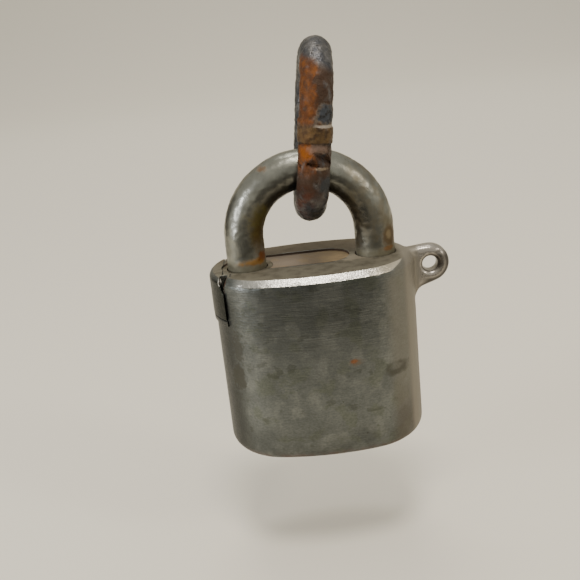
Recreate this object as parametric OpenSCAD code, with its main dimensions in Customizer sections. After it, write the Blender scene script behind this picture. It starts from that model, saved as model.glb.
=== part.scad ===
// Weathered padlock, closed, with the worn chain link that its shackle holds. Millimetres.
// The origin is the centre of the case's flat bottom. +Z runs up to the shackle's crown, the key goes
// in at the bottom, the broad faces look along Y, and the ear stands on the +X end.

/* [Case] */
// Width of the case, without its ear
case_w = 57.2; // [54:0.2:70]
// Thickness of the case, from broad face to broad face
case_t = 38; // [34:0.2:46]
// Height of the case
case_h = 54; // [50:0.5:66]
// How far each broad face swells past the round ends
face_crown = 1.1; // [0.8:0.1:2]
// Chamfer round the top edge
top_chamfer = 1.6; // [0.5:0.1:2.5]
// Fillet round the bottom edge
base_fillet = 3.75; // [1:0.25:5]

/* [Shackle] */
// Diameter of the shackle's bar
bar_d = 11.1; // [9:0.1:13.4]
// Clear gap between the two legs
leg_gap = 25.4; // [21:0.1:30.6]
// Straight leg that shows above the case
leg_out = 7.4; // [5:0.1:12]
// Clearance round each leg in its bore
leg_clear = 0.3; // [0.2:0.05:0.4]
// How far the shackle rises when it opens
lift = 22; // [20:0.5:24]

/* [Ear] */
// Diameter of the ear's hole at its throat
ear_hole_d = 4.2; // [3.4:0.1:5]
// Outer radius of the ear
ear_r = 5.7; // [5:0.1:7]
// Thickness of the ear
ear_t = 5.2; // [4.4:0.1:6.4]

/* [Chain link] */
// Outer length of the link
link_len = 49.2; // [42:0.2:60]
// Outer width of the link
link_w = 33; // [30:0.2:40]
// Diameter of the link's bar
link_bar_d = 8.8; // [7.4:0.1:9.4]
// Angle that the link leans along the shackle's arch
link_lean = 7.3; // [0:0.1:12]

/* [Lock cylinder] */
// Diameter of the turning core
core_d = 10.8; // [10:0.1:12]
// Diameter of the cylinder shell
shell_d = 17.4; // [17:0.1:18.4]
// Number of pin stacks
pin_count = 6; // [4:1:6]
// Distance from one pin stack to the next
pin_pitch = 3.6; // [3.2:0.1:3.8]
// Diameter of a locking ball
ball_d = 9; // [8:0.1:9.4]

/* [Hidden] */
$fn = 96;
over = 1;              // how far a cut runs past the surface that it opens
fit_gap = 0.05;        // clearance of pieces that sit in one another
steel = "#8d8a80";
bright_steel = "#b9b7ae";
dark_steel = "#3f3f45";
yellow_brass = "#b5994f";

// Case plan: a round end on each side, joined by two broad shallow arcs that meet the ends smoothly
end_r = case_t / 2 - face_crown;
end_x = case_w / 2 - end_r;
face_r = (end_x * end_x + case_t * case_t / 4 - end_r * end_r) / (2 * face_crown);
face_y = face_r - case_t / 2;
tangent_deg = atan2(face_y, end_x);
end_steps = 28;
face_steps = 6;
fillet_steps = 7;

// Shackle
bar_r = bar_d / 2;
leg_x = leg_gap / 2 + bar_r;
arch_z = case_h + leg_out;
bore_r = bar_r + leg_clear;
heel_bore_z = 3.5;
heel_end_z = 11;
toe_end_z = 33;
toe_bore_z = 27.5;
leg_chamfer = 0.8;

// Ball lock
ball_z = case_h - 12;
ball_r = ball_d / 2;
ball_in_leg = 2;       // how deep a locked ball sits in its leg
ball_travel = 2.2;     // from clear of the leg to fully locked
ball_clear = 0.1;
ball_locked_x = leg_x - bar_r + ball_in_leg - ball_r;
ball_open_x = ball_locked_x - ball_travel;
cam_small_r = ball_open_x - ball_r - 0.5;
cam_large_r = ball_locked_x - ball_r - 0.5;
cam_h = 10;
clip_r = core_d / 2 + 0.5;
cam_room_r = max(cam_large_r + 1, clip_r + 0.3);
tail_r = 1.6;

// Recessed pieces of the top face
sunk = 0.6;            // how far they lie below the top face
seat_h = 3.6;
collar_r = bore_r + 1.35;
top_plug_r = 6.65;
top_plug_y = 1.15;
top_plug_start_x = 4.55 - leg_x;
top_plug_end_x = leg_x - bore_r - top_plug_r - 1.6;

// Keeper in the heel end
keeper_x = case_w / 2 - 3.6;
keeper_proud = 0.6;
ledge_z = case_h - 12;
ledge_h = 2;
keeper_round = 1.8;
gap_back_y = 7.6;      // how far in front of the centre plane the V gap's back wall stands
rib_y = 8;

// Ear
ear_x = case_w / 2 + 4.7;
ear_z = case_h - 4.9;
ear_rim = 1.6;
ear_flare = 1.6;       // how far the hole opens out to each face
ear_steps = 8;

// Chain link: z is 0 on the lower bow's centre line
link_bar_r = link_bar_d / 2;
bow_r = link_w / 2 - link_bar_r;
link_straight = link_len - link_w;
link_rest = leg_x - bar_r - link_bar_r - 0.1;
weld_r = link_bar_r + 0.25;
weld_h = 4.6;
weld_z = bow_r + 6.5;
chisel_z = bow_r + 3.8;

// Lock cylinder
core_r = core_d / 2;
shell_r = shell_d / 2;
shell_y = 2;           // the shell is eccentric, thicker where the pins stand
shell_top_z = 28;
core_top_z = 31;
pin_r = 1.35;
pin_bore_r = 1.4;
first_pin_z = 4.6;
shear_y = core_r - 0.2;
driver_h = 2.8;
driver_y = core_r + 0.1;
spring_y = driver_y + driver_h + 0.05;
cover_y = shell_y + shell_r - 0.62;
clip_z = 28.2;
clip_h = 0.8;
clip_groove_r = 4.5;
retainer_z = 10.5;
retainer_r = 2.4;
retainer_in_x = shell_r - 1.7;
screw_r = 2.95;
retainer_out_x = leg_x - screw_r - 0.2;

function pin_z(i) = first_pin_z + i * pin_pitch;
// How far up its bore each key pin starts: the six lengths are a made-up key's cuts
function key_pin_y(i) = 0.4 + 0.45 * ((i * 5 + 2) % 4);

// The case's plan, drawn in by inset all round: toe end, back face, heel end, front face
function arc(x, y, r, from, to, steps, first, last) = [
    for (i = [first : last])
        let (a = from + (to - from) * i / steps)
        [x + r * cos(a), y + r * sin(a)]
];
function outline(inset) = concat(
    arc(end_x, 0, end_r - inset, -tangent_deg, tangent_deg, end_steps, 0, end_steps),
    arc(0, -face_y, face_r - inset, tangent_deg, 180 - tangent_deg, face_steps, 1, face_steps - 1),
    arc(-end_x, 0, end_r - inset, 180 - tangent_deg, 180 + tangent_deg, end_steps, 0, end_steps),
    arc(0, face_y, face_r - inset, 180 + tangent_deg, 360 - tangent_deg, face_steps, 1, face_steps - 1)
);

// The case as a stack of plans: filleted at the bottom, straight, and chamfered at the top
module case_block() {
    fillet = [
        for (i = [0 : fillet_steps])
            let (a = 90 * i / fillet_steps)
            [base_fillet * (1 - cos(a)), base_fillet * (1 - sin(a))]
    ];
    levels = concat(fillet, [[case_h - top_chamfer, 0], [case_h, top_chamfer]]);
    count = len(outline(0));
    points = [for (level = levels) for (p = outline(level[1])) [p[0], p[1], level[0]]];
    walls = [
        for (k = [0 : len(levels) - 2])
            for (i = [0 : count - 1])
                let (next = (i + 1) % count, low = k * count, high = (k + 1) * count)
                [low + i, high + i, high + next, low + next]
    ];
    bottom = [for (i = [0 : count - 1]) i];
    top = [for (i = [count - 1 : -1 : 0]) (len(levels) - 1) * count + i];
    polyhedron(points, concat(walls, [bottom, top]));
}

// Everything on the heel side of the keeper's joint
module heel_side(x, z, h) {
    translate([-case_w, -case_t / 2, z]) cube([case_w - x, case_t, h]);
}

module ledge() {
    bury = 0.4;
    intersection() {
        translate([-end_x, 0, ledge_z - ledge_h])
            rotate_extrude()
                polygon([
                    [0, -bury],
                    [end_r - bury, -bury],
                    [end_r + keeper_proud, keeper_proud],
                    [end_r + keeper_proud, ledge_h - keeper_proud / 2],
                    [end_r + keeper_proud / 2, ledge_h],
                    [0, ledge_h],
                ]);
        heel_side(keeper_x, ledge_z - ledge_h - bury, ledge_h + bury);
    }
}

module ear_rim_ring() {
    for (y = [-1, 1])
        translate([0, 0, y * (ear_t / 2 - ear_rim)])
            rotate_extrude($fn = 40) translate([ear_r - ear_rim, 0]) circle(ear_rim, $fn = 24);
}

module ear() {
    hull() {
        translate([ear_x, 0, ear_z]) rotate([90, 0, 0]) ear_rim_ring();
        for (y = [-1, 1])
            for (p = [[ear_x - 9, case_h - ear_rim - 0.1], [ear_x - 6.6, ear_z - 6.5]])
                translate([p[0], y * (ear_t / 2 - ear_rim), p[1]]) sphere(ear_rim, $fn = 24);
    }
    // The blend under the ear, where it runs into the case's end
    hull()
        for (p = [[ear_x - 3.2, ear_z - 6.3], [ear_x - 5, ear_z - 9.6], [ear_x - 6.6, ear_z - 6.5]])
            for (y = [-1, 1])
                translate([p[0], y * (ear_t / 2 - ear_rim), p[1]]) sphere(0.5, $fn = 16);
}

// The hole flares out to both faces, as if the ear were a ring of round bar
module ear_hole() {
    r = ear_hole_d / 2;
    half = ear_t / 2 - ear_flare;
    flare = [
        for (i = [0 : ear_steps])
            let (a = 90 * i / ear_steps)
            [r + ear_flare * (1 - cos(a)), half + ear_flare * sin(a)]
    ];
    end = [[r + ear_flare, ear_t / 2 + over], [0, ear_t / 2 + over]];
    side = concat(flare, end);
    mirrored = [for (i = [len(side) - 1 : -1 : 0]) [side[i][0], -side[i][1]]];
    translate([ear_x, 0, ear_z]) rotate([90, 0, 0]) rotate_extrude() polygon(concat(side, mirrored));
}

// The V gap that has opened between the keeper and the case, at the front of their joint
module keeper_gap() {
    translate([0, -gap_back_y, 0])
        rotate([90, 0, 0])
            linear_extrude(case_t)
                polygon([
                    [-keeper_x - 0.3, case_h - 4.4],
                    [-keeper_x + 0.1, case_h - 4.4],
                    [-keeper_x + 0.1, case_h - 2.6],
                    [-keeper_x + 1.35, case_h + 0.1],
                    [-keeper_x - 0.7, case_h + 0.1],
                    [-keeper_x - 1.15, case_h - 1.4],
                ]);
}

// Two dovetail ribs slide the keeper down into the case
module keeper_ribs(gap, z, h) {
    for (y = [-1, 1])
        translate([0, y * rib_y, z])
            linear_extrude(h)
                polygon([
                    [-keeper_x - 0.5, -1 - gap],
                    [-keeper_x, -1 - gap],
                    [-keeper_x + 2.1 + gap, -1.5 - gap],
                    [-keeper_x + 2.1 + gap, 1.5 + gap],
                    [-keeper_x, 1 + gap],
                    [-keeper_x - 0.5, 1 + gap],
                ]);
}

// The case's heel end above z, chamfered at the top as the case is
module chamfered_end(z) {
    translate([-end_x, 0, 0])
        rotate_extrude()
            polygon([
                [0, z], [end_r, z], [end_r, case_h - top_chamfer], [end_r - top_chamfer, case_h], [0, case_h],
            ]);
}

// The long round-ended outline of the top plug
module top_plug_outline(gap) {
    translate([top_plug_start_x, top_plug_y - top_plug_r - gap])
        square([top_plug_end_x - top_plug_start_x, 2 * (top_plug_r + gap)]);
    translate([top_plug_end_x, top_plug_y]) circle(top_plug_r + gap);
}

module heel_bore() {
    translate([-leg_x, 0, heel_bore_z]) cylinder(h = case_h, r = bore_r);
}

module collar_seat(gap) {
    translate([-leg_x, 0, case_h - seat_h]) cylinder(h = seat_h + over, r = collar_r + gap);
}

module case() {
    color(steel)
        difference() {
            union() {
                difference() {
                    case_block();
                    heel_side(keeper_x, ledge_z, case_h);
                }
                ledge();
                ear();
            }
            ear_hole();
            keeper_gap();
            keeper_ribs(fit_gap, ledge_z, case_h);
            heel_bore();
            translate([leg_x, 0, toe_bore_z]) cylinder(h = case_h, r = bore_r);
            collar_seat(fit_gap);
            translate([0, 0, case_h - seat_h]) linear_extrude(seat_h + over) top_plug_outline(fit_gap);
            translate([0, 0, shell_top_z]) cylinder(h = case_h - seat_h - shell_top_z + 0.1, r = cam_room_r);
            translate([0, 0, ball_z])
                rotate([0, 90, 0]) cylinder(h = 2 * leg_x, r = ball_r + ball_clear, center = true);
            translate([0, shell_y, -over]) cylinder(h = shell_top_z + over, r = shell_r + fit_gap);
            translate([0, 0, retainer_z])
                rotate([0, 90, 0]) cylinder(h = retainer_out_x + 0.1, r = retainer_r + fit_gap);
            translate([leg_x, 0, retainer_z - 4.5]) cylinder(h = toe_bore_z, r = screw_r + fit_gap);
        }
}

module heel_keeper() {
    z = ledge_z + fit_gap;
    r = end_r + keeper_proud;
    color(steel)
        difference() {
            intersection() {
                translate([-end_x, 0, z])
                    rotate_extrude()
                        difference() {
                            square([r, case_h - z]);
                            difference() {
                                translate([r - keeper_round, case_h - z - keeper_round])
                                    square(keeper_round + over);
                                translate([r - keeper_round, case_h - z - keeper_round])
                                    circle(keeper_round);
                            }
                        }
                union() {
                    heel_side(keeper_x + fit_gap, z, case_h - z);
                    intersection() {
                        keeper_ribs(0, z, case_h - z);
                        chamfered_end(z);
                    }
                }
            }
            keeper_gap();
            collar_seat(fit_gap);
            heel_bore();
        }
}

module heel_collar() {
    color(steel)
        translate([-leg_x, 0, case_h - seat_h])
            difference() {
                cylinder(h = seat_h - sunk, r = collar_r);
                translate([0, 0, -over]) cylinder(h = seat_h + 2 * over, r = bore_r);
            }
}

module top_plug() {
    color("#8a7a5f")
        difference() {
            translate([0, 0, case_h - seat_h]) linear_extrude(seat_h - sunk) top_plug_outline(0);
            collar_seat(2 * fit_gap);
        }
}

module ball_notches() {
    for (side = [-1, 1])
        translate([side * ball_locked_x, 0, ball_z]) sphere(ball_r + ball_clear);
}

module shackle() {
    color(bright_steel)
        difference() {
            union() {
                translate([0, 0, arch_z])
                    rotate([90, 0, 0]) rotate_extrude(angle = 180) translate([leg_x, 0]) circle(bar_r);
                for (leg = [[-leg_x, heel_end_z], [leg_x, toe_end_z]]) {
                    translate([leg[0], 0, leg[1] + leg_chamfer])
                        cylinder(h = arch_z - leg[1] - leg_chamfer, r = bar_r);
                    translate([leg[0], 0, leg[1]])
                        cylinder(h = leg_chamfer, r1 = bar_r - leg_chamfer, r2 = bar_r);
                }
            }
            ball_notches();
            // The neck that lets the heel leg rise and swivel past a ball that stands out
            translate([-leg_x, 0, ball_z - lift])
                rotate_extrude() translate([leg_x - ball_locked_x, 0]) circle(ball_r + ball_clear);
        }
}

// A closed helical wire about +Z, from z = 0 to z = height, measured on the wire's centre line
module coil(radius, wire_r, height, turns, steps, sides) {
    count = turns * steps;
    points = [
        for (i = [0 : count])
            for (k = [0 : sides - 1])
                let (
                    turn = 360 * i / steps,
                    out = radius + wire_r * cos(360 * k / sides),
                    up = height * i / count + wire_r * sin(360 * k / sides)
                )
                [out * cos(turn), out * sin(turn), up]
    ];
    walls = [
        for (i = [0 : count - 1])
            for (k = [0 : sides - 1])
                let (next = (k + 1) % sides)
                [i * sides + k, (i + 1) * sides + k, (i + 1) * sides + next, i * sides + next]
    ];
    first_cap = [for (k = [0 : sides - 1]) k];
    last_cap = [for (k = [sides - 1 : -1 : 0]) count * sides + k];
    polyhedron(points, concat(walls, [first_cap, last_cap]));
}

module shackle_spring() {
    wire_r = 0.55;
    room = heel_end_z - heel_bore_z - 2 * wire_r - 0.2;
    color(dark_steel)
        translate([-leg_x, 0, heel_bore_z + wire_r + 0.1]) coil(bar_r - 1.4, wire_r, room, 4, 20, 6);
}

module lock_ball_left() {
    color(bright_steel) translate([-ball_open_x, 0, ball_z]) sphere(ball_r);
}

module lock_ball_right() {
    color(bright_steel) translate([ball_open_x, 0, ball_z]) sphere(ball_r);
}

module lock_cam() {
    color(steel)
        translate([0, 0, ball_z - cam_h / 2])
            difference() {
                linear_extrude(cam_h)
                    polygon([for (a = [0 : 9 : 351]) [cam_small_r * cos(a), cam_large_r * sin(a)]]);
                translate([0, 0, -over]) cylinder(h = cam_h + 2 * over, r = tail_r + fit_gap);
            }
}

module tailpiece() {
    color(steel)
        translate([0, 0, core_top_z - 2]) cylinder(h = ball_z + cam_h / 2 - core_top_z + 2, r = tail_r);
}

module cylinder_shell() {
    color(yellow_brass)
        difference() {
            translate([0, shell_y, 0]) cylinder(h = shell_top_z - 0.1, r = shell_r);
            translate([0, 0, -over]) cylinder(h = case_h, r = core_r + fit_gap);
            for (i = [0 : pin_count - 1])
                translate([0, 0, pin_z(i)])
                    rotate([-90, 0, 0]) cylinder(h = shell_y + shell_r + over, r = pin_bore_r);
            translate([-2.05, cover_y, 1.4]) cube([4.1, shell_r, shell_top_z - 2.8]);
            translate([retainer_in_x, 0, retainer_z])
                rotate([0, 90, 0]) cylinder(h = shell_r, r = retainer_r + fit_gap);
        }
}

module cylinder_plug() {
    color(yellow_brass)
        difference() {
            cylinder(h = core_top_z, r = core_r);
            // Keyway: a deep slot with a step to one side
            translate([-0.6, -core_r + 0.9, -over]) cube([1.2, core_r + 2.4, shell_top_z - 1]);
            translate([-1.5, -1.6, -over]) cube([1.6, 1.5, shell_top_z - 1]);
            for (i = [0 : pin_count - 1])
                translate([0, 0, pin_z(i)]) rotate([-90, 0, 0]) cylinder(h = core_r + over, r = pin_bore_r);
            difference() {
                translate([0, 0, clip_z - 0.1]) cylinder(h = clip_h + 0.2, r = core_r + over);
                translate([0, 0, clip_z - over]) cylinder(h = clip_h + 2 * over, r = clip_groove_r);
            }
            translate([0, 0, core_top_z - 2]) cylinder(h = 2 + over, r = tail_r + fit_gap);
        }
}

module key_pins() {
    color(yellow_brass)
        for (i = [0 : pin_count - 1])
            translate([0, key_pin_y(i), pin_z(i)])
                rotate([-90, 0, 0]) cylinder(h = shear_y - key_pin_y(i), r = pin_r);
}

module driver_pins() {
    color(steel)
        for (i = [0 : pin_count - 1])
            translate([0, driver_y, pin_z(i)]) rotate([-90, 0, 0]) cylinder(h = driver_h, r = pin_r);
}

module pin_springs() {
    wire_r = 0.16;
    room = cover_y - spring_y - 2 * wire_r - 0.1;
    color(bright_steel)
        for (i = [0 : pin_count - 1])
            translate([0, spring_y + wire_r, pin_z(i)])
                rotate([-90, 0, 0]) coil(0.95, wire_r, room, 3, 12, 5);
}

module pin_spring_cover() {
    color(yellow_brass) translate([-2, cover_y, 1.5]) cube([4, 0.35, shell_top_z - 3]);
}

module plug_clip() {
    color(dark_steel)
        translate([0, 0, clip_z])
            difference() {
                cylinder(h = clip_h, r = clip_r);
                translate([0, 0, -over]) cylinder(h = clip_h + 2 * over, r = clip_groove_r + 0.03);
                translate([-2.4, 0, -over]) cube([4.8, core_r * 2, clip_h + 2 * over]);
            }
}

module retainer_bar() {
    color(steel)
        translate([retainer_in_x + 0.1, 0, retainer_z])
            rotate([0, 90, 0]) cylinder(h = retainer_out_x - retainer_in_x - 0.1, r = retainer_r);
}

module retainer_screw() {
    head_z = toe_bore_z + 0.05;
    color(dark_steel)
        translate([leg_x, 0, 0])
            difference() {
                union() {
                    translate([0, 0, retainer_z - 4]) cylinder(h = head_z - retainer_z + 4.2, r = screw_r);
                    translate([0, 0, head_z]) cylinder(h = 3, r = bore_r - 1);
                }
                translate([-bore_r, -0.7, head_z + 1.6]) cube([2 * bore_r, 1.4, 2]);
            }
}

// Half of a round bar's ring in the YZ plane: from 0 the upper half, from 180 the lower
module bow(from) {
    rotate([90, 0, 90])
        rotate([0, 0, from])
            rotate_extrude(angle = 180) translate([bow_r, 0]) circle(link_bar_r);
}

module chain_link() {
    color(dark_steel)
        translate([0, 0, arch_z])
            rotate([0, link_lean, 0])
                translate([0, 0, link_rest])
                    difference() {
                        union() {
                            translate([0, 0, bow_r]) bow(180);
                            translate([0, 0, bow_r + link_straight]) bow(0);
                            for (y = [-1, 1])
                                translate([0, y * bow_r, bow_r])
                                    cylinder(h = link_straight, r = link_bar_r);
                            // The weld's collar, on the front bar only
                            translate([0, -bow_r, weld_z]) cylinder(h = weld_h, r = weld_r);
                        }
                        // The chisel's V cut into the right of the front bar
                        translate([0, -bow_r - link_bar_r, chisel_z])
                            rotate([0, 14, 40])
                                translate([2.6, 0, 0])
                                    rotate([0, 45, 0]) cube([2.6, 12, 2.6], center = true);
                    }
}

case();
heel_keeper();
heel_collar();
top_plug();
shackle();
shackle_spring();
lock_ball_left();
lock_ball_right();
lock_cam();
tailpiece();
cylinder_shell();
cylinder_plug();
key_pins();
driver_pins();
pin_springs();
pin_spring_cover();
plug_clip();
retainer_bar();
retainer_screw();
chain_link();
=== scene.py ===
# Weathered steel padlock, closed on a rusted chain link.
# The imported model gives every size; this script gives the skin: cast grain, wear, rust, stains, and
# some painted shade and highlights.
import bpy
import bmesh
import math
from mathutils import Matrix, Vector


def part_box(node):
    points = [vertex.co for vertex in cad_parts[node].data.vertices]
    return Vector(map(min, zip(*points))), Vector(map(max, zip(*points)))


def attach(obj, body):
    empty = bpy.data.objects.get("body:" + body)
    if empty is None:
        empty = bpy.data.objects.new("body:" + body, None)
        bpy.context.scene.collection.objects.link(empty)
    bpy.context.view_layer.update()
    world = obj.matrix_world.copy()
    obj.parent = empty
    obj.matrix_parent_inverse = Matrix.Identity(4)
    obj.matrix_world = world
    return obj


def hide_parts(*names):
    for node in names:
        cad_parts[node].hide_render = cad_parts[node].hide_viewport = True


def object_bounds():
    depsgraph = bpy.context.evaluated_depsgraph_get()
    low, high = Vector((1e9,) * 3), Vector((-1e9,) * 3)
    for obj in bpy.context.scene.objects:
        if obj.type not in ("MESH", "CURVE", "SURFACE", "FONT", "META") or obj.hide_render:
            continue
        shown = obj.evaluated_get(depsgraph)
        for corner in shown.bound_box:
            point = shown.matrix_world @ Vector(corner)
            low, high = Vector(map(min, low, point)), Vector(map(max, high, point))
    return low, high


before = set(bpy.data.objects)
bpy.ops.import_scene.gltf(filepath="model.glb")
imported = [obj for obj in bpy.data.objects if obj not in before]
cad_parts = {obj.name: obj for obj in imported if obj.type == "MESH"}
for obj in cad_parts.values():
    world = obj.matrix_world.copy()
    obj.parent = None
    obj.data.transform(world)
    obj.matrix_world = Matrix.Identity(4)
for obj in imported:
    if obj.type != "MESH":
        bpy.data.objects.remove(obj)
cadLow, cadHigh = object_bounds()
mm = 0.001

caseLow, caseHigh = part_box("case")
shackleLow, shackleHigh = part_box("shackle")
linkLow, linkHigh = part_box("chain_link")
ballLow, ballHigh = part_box("lock_ball_right")
keeperLow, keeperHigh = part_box("heel_keeper")
ledgeZ = keeperLow.z
earZ = caseHigh.z                                   # top of the ear, a little over the top face
topZ = keeperHigh.z                                 # the case's top face
barRadius = (shackleHigh.y - shackleLow.y) / 2
legX = shackleHigh.x - barRadius
archZ = shackleHigh.z - barRadius - legX


# Shared helpers

def linear(hexColour):
    channels = [int(hexColour[i:i + 2], 16) / 255 for i in (1, 3, 5)]
    return (*(c / 12.92 if c <= 0.04045 else ((c + 0.055) / 1.055) ** 2.4 for c in channels), 1)


def addNode(tree, kind, values=None, links=None, **settings):
    node = tree.nodes.new(kind)
    for key, value in settings.items():
        setattr(node, key, value)
    for key, value in (values or {}).items():
        node.inputs[key].default_value = value
    for key, source in (links or {}).items():
        tree.links.new(source, node.inputs[key])
    return node


def addPiece(name, data):
    piece = bpy.data.objects.new(name, data)
    bpy.context.scene.collection.objects.link(piece)
    return piece


def meshPiece(name, points, edges, faces):
    mesh = bpy.data.meshes.new(name)
    mesh.from_pydata(points, edges, faces)
    return addPiece(name, mesh)


def shapePiece(name, shape, outwards=True):         # a bmesh becomes a piece, faces outwards
    if outwards:
        bmesh.ops.recalc_face_normals(shape, faces=shape.faces)
    mesh = bpy.data.meshes.new(name)
    shape.to_mesh(mesh)
    shape.free()
    return addPiece(name, mesh)


def freeze(piece):                                  # live modifiers become plain mesh
    depsgraph = bpy.context.evaluated_depsgraph_get()
    mesh = bpy.data.meshes.new_from_object(piece.evaluated_get(depsgraph))
    mesh.name = piece.name
    piece.modifiers.clear()
    piece.data = mesh
    return piece


def grow(piece, tree, sizes, material):             # run a node tree over a piece, keep its mesh
    modifier = piece.modifiers.new(tree.name, "NODES")
    modifier.node_group = tree
    given = {**sizes, "Material": material}
    for item in tree.interface.items_tree:
        if item.in_out == "INPUT" and item.name in given:
            modifier[item.identifier] = given[item.name]
    return freeze(piece)


def combine(piece, others, operation):              # join or cut with other solids, then drop them
    for other in others:
        step = piece.modifiers.new("combine", "BOOLEAN")
        step.operation = operation
        step.solver = "EXACT"
        step.object = other
    freeze(piece)
    for other in others:
        bpy.data.objects.remove(other)
    return piece


# Masks for node trees: each returns a socket that runs from 0 to 1

def noiseMask(place, size, low, high, detail=3, stretch=(1, 1, 1), seed=0):
    tree = place.id_data
    moved = addNode(tree, "ShaderNodeVectorMath", {1: stretch}, {0: place}, operation="MULTIPLY")
    noise = addNode(tree, "ShaderNodeTexNoise", {"Scale": 1 / size, "Detail": detail, "W": seed},
                    {"Vector": moved.outputs[0]}, noise_dimensions="4D")
    return rangeMask(noise.outputs[0], low, high)


def patchMask(place, centre, size, ragged, edge, grain):
    tree = place.id_data
    off = addNode(tree, "ShaderNodeVectorMath", {1: centre}, {0: place}, operation="SUBTRACT")
    scaled = addNode(tree, "ShaderNodeVectorMath", {1: tuple(1 / s for s in size)},
                     {0: off.outputs[0]}, operation="MULTIPLY")
    reach = addNode(tree, "ShaderNodeVectorMath", None, {0: scaled.outputs[0]}, operation="LENGTH")
    noise = addNode(tree, "ShaderNodeTexNoise", {"Scale": 1 / grain, "Detail": 4},
                    {"Vector": place})
    push = addNode(tree, "ShaderNodeMath", {1: ragged * 2, 2: -ragged}, {0: noise.outputs[0]},
                   operation="MULTIPLY_ADD")
    return rangeMask(join("ADD", reach.outputs["Value"], push.outputs[0]), 1 + edge, 1 - edge)


def rangeMask(value, low, high, least=0.0):         # least at low, 1 at high, either way round
    ramp = addNode(value.id_data, "ShaderNodeMapRange",
                   {"From Min": low, "From Max": high, "To Min": least}, {"Value": value},
                   interpolation_type="SMOOTHSTEP")
    return ramp.outputs[0]


def join(operation, first, *others):                # sockets, or after the first numbers too
    for other in others:
        number = isinstance(other, (int, float))
        step = addNode(first.id_data, "ShaderNodeMath", {1: other} if number else None,
                       {0: first} if number else {0: first, 1: other}, operation=operation)
        first = step.outputs[0]
    return first


def both(*masks):
    return join("MULTIPLY", *masks)


def either(*masks):
    return join("MAXIMUM", *masks)


def rest(mask):                                     # what the mask leaves
    return join("ADD", join("MULTIPLY", mask, -1.0), 1.0)


def fromAxis(place, centre, kept=(1, 0, 1)):        # distance from centre, along the kept axes only
    tree = place.id_data
    off = addNode(tree, "ShaderNodeVectorMath", {1: centre}, {0: place}, operation="SUBTRACT")
    flat = addNode(tree, "ShaderNodeVectorMath", {1: kept}, {0: off.outputs[0]},
                   operation="MULTIPLY")
    return addNode(tree, "ShaderNodeVectorMath", None, {0: flat.outputs[0]},
                   operation="LENGTH").outputs["Value"]


def blend(kind, ports, under, over, mask):          # ports: the two inputs' places and the output's
    mix = addNode(mask.id_data, "ShaderNodeMix", None, {0: mask}, data_type=kind)
    for port, value in zip(ports, (under, over)):
        if isinstance(value, bpy.types.NodeSocket):
            mask.id_data.links.new(value, mix.inputs[port])
        else:
            mix.inputs[port].default_value = value
    return mix.outputs[ports[2]]


def paintOver(under, over, mask, amount=1):         # colours are hex words or sockets
    tones = [linear(tone) if isinstance(tone, str) else tone for tone in (under, over)]
    return blend("RGBA", (6, 7, 2), *tones, mask if amount == 1 else both(mask, amount))


def blendValue(under, over, mask):                  # numbers or sockets
    return blend("FLOAT", (2, 3, 0), under, over, mask)


def paintCoats(colour, coats):                      # each coat: tone, strength, mask
    for tone, strength, mask in coats:
        colour = paintOver(colour, tone, mask, strength)
    return colour


def paintPatches(colour, place, patches):           # each: mask settings, tone, strength
    masks = {}
    for name, (*settings, tone, strength) in patches.items():
        masks[name] = patchMask(place, *settings)
        colour = paintOver(colour, tone, masks[name], strength)
    return colour, masks


def newMaterial(name, turn=(0, 0, 0), origin=(0, 0, 0)):
    material = bpy.data.materials.new(name)
    material.use_nodes = True
    tree = material.node_tree
    texture = addNode(tree, "ShaderNodeTexCoord")
    # every pattern below is laid out in millimetres, in the piece's own turned frame
    inMm = addNode(tree, "ShaderNodeMapping",
                   {"Location": origin, "Rotation": turn, "Scale": (1000, 1000, 1000)},
                   {"Vector": texture.outputs["Object"]})
    axes = addNode(tree, "ShaderNodeSeparateXYZ", None, {0: inMm.outputs[0]})
    facing = addNode(tree, "ShaderNodeSeparateXYZ", None, {0: texture.outputs["Normal"]})
    return material, inMm.outputs[0], axes.outputs, facing.outputs


def finishMaterial(material, colour, metal, rough, heights, specular=0.5):
    tree = material.node_tree
    shader = tree.nodes["Principled BSDF"]
    for label, value in (("Base Color", colour), ("Metallic", metal), ("Roughness", rough)):
        if isinstance(value, bpy.types.NodeSocket):
            tree.links.new(value, shader.inputs[label])
        else:
            shader.inputs[label].default_value = value
    shader.inputs["Specular IOR Level"].default_value = specular
    normal = shader.inputs["Normal"]
    for height, depth in reversed(heights):         # (socket, depth in mm), laid over each other
        bump = addNode(tree, "ShaderNodeBump", {"Strength": 1.0, "Distance": depth * mm},
                       {"Height": height})
        tree.links.new(bump.outputs[0], normal)
        normal = bump.inputs["Normal"]
    return material


# Case: cast steel, ground on its broad faces and long handled. Dull grey, cloudy, brushed across.
caseLook = {
    "grey": "#7a7d79",
    "darkGrey": "#505452",
    "paleGrey": "#949690",
    "shade": "#383936",
    "greenGrey": "#6a6f5f",
    "warmEnd": "#747064",
    "topFace": "#757061",
    "brightEdgeAndHighlight": "#e4e1d8",
    "grime": "#33301f",
    "darkRust": "#4a2c1a",
    "gritSize": 0.45,
    "brushSize": 0.32,                               # spacing of the grinding lines
    "cloudSize": 9.0,
    "speckSize": 0.9,
}


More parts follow.
